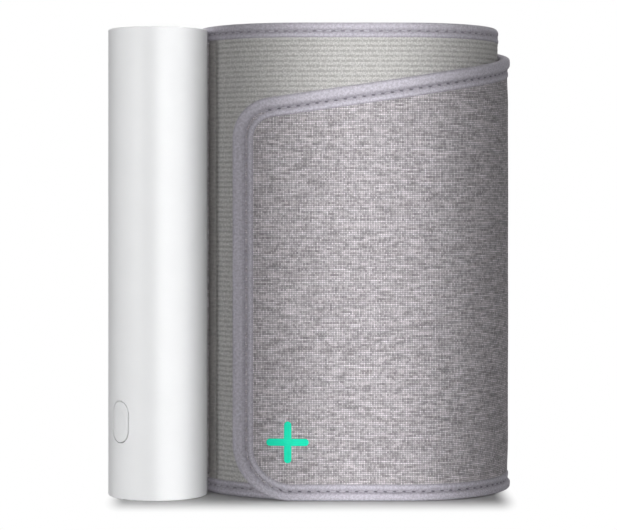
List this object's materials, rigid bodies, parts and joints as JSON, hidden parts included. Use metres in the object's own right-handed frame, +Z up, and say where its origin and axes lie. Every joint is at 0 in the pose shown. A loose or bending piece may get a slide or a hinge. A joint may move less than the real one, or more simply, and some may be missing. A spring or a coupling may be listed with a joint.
{
  "type": "upper-arm blood pressure monitor with wrap cuff",
  "caption": "Slim white tube monitor with a pill-shaped button, beside a rolled fabric arm cuff that a hook-and-loop flap closes.",
  "frame": {"origin": "the tube's axis, on the plane that the tube and the cuff stand on", "axes": "+Z up the tube, -Y the front with the flap, +X from the tube to the cuff"},
  "size_m": [0.131, 0.0701, 0.1515],
  "materials": {
    "white_plastic": "satin white moulded plastic",
    "button_plastic": "satin white moulded plastic",
    "grey_plastic": "plain moulded plastic",
    "black_plastic": "plain moulded plastic",
    "circuit_board": "solder mask",
    "lamp_lens": "clear lens",
    "plain_steel": "plain",
    "brass": "turned",
    "battery_wrap": "shrink sleeve",
    "foam": "foam",
    "silicone": "translucent silicone",
    "heather_fabric": "heathered woven fabric",
    "side_tape": "smooth woven tape",
    "loop_pile": "ribbed loop pile",
    "lining_fabric": "plain coated fabric",
    "bladder_film": "film",
    "binding_tape": "folded grosgrain tape",
    "hook_tape": "moulded hooks",
    "mint_print": "raised print"
  },
  "bodies": {
    "monitor": {"tube_shell": "white_plastic", "top_cap": "white_plastic", "bottom_cap": "white_plastic", "chassis": "grey_plastic", "switch_board": "circuit_board", "tact_switch": "black_plastic", "main_board": "circuit_board", "board_chips": "black_plastic", "display_board": "circuit_board", "lamp_matrix": "lamp_lens", "light_guide": "grey_plastic", "display_standoffs": "plain_steel", "charging_socket": "plain_steel", "charging_board": "circuit_board", "battery": "battery_wrap", "battery_pad": "foam", "pump_motor": "plain_steel", "pump_head": "grey_plastic", "release_valve": "grey_plastic", "pressure_sensor": "black_plastic", "air_manifold": "grey_plastic", "sensor_hose": "silicone", "cuff_port": "grey_plastic", "clamp_plate": "plain_steel", "cuff_screws": "plain_steel", "shell_fabric": "heather_fabric", "side_tape": "side_tape", "loop_panel": "loop_pile", "outer_lining": "lining_fabric", "inner_lining": "lining_fabric", "stiffener": "grey_plastic", "air_bladder": "bladder_film", "top_binding": "binding_tape", "ramp_binding": "binding_tape", "bottom_binding": "binding_tape", "end_binding": "binding_tape"},
    "flap": {"flap_fabric": "heather_fabric", "flap_lining": "lining_fabric", "flap_binding": "binding_tape", "hook_patch": "hook_tape", "plus_badge": "mint_print"},
    "button": {"button": "button_plastic"},
    "pump_rotor": {"pump_rotor": "brass"},
    "valve_plunger": {"valve_plunger": "plain_steel"}
  },
  "joints": [
    {"name": "flap_open", "type": "hinge", "parent": "monitor", "child": "flap", "pos_m": [0.08, -0.01602, 0], "axis": [0, 0, 1], "range_deg": [0, 150]},
    {"name": "button_press", "type": "slide", "parent": "monitor", "child": "button", "axis": [0.7071, 0.7071, 0], "range_m": [0, 0.0005], "stiffness_N_per_m": 1500, "springref_m": -0.0005},
    {"name": "pump_spin", "type": "hinge", "parent": "monitor", "child": "pump_rotor", "pos_m": [0, 0.0037, 0.1], "axis": [0, 0, 1], "continuous": true},
    {"name": "valve_slide", "type": "slide", "parent": "monitor", "child": "valve_plunger", "axis": [0, 0, 1], "range_m": [0, 0.0008], "stiffness_N_per_m": 400, "springref_m": -0.0005}
  ]
}
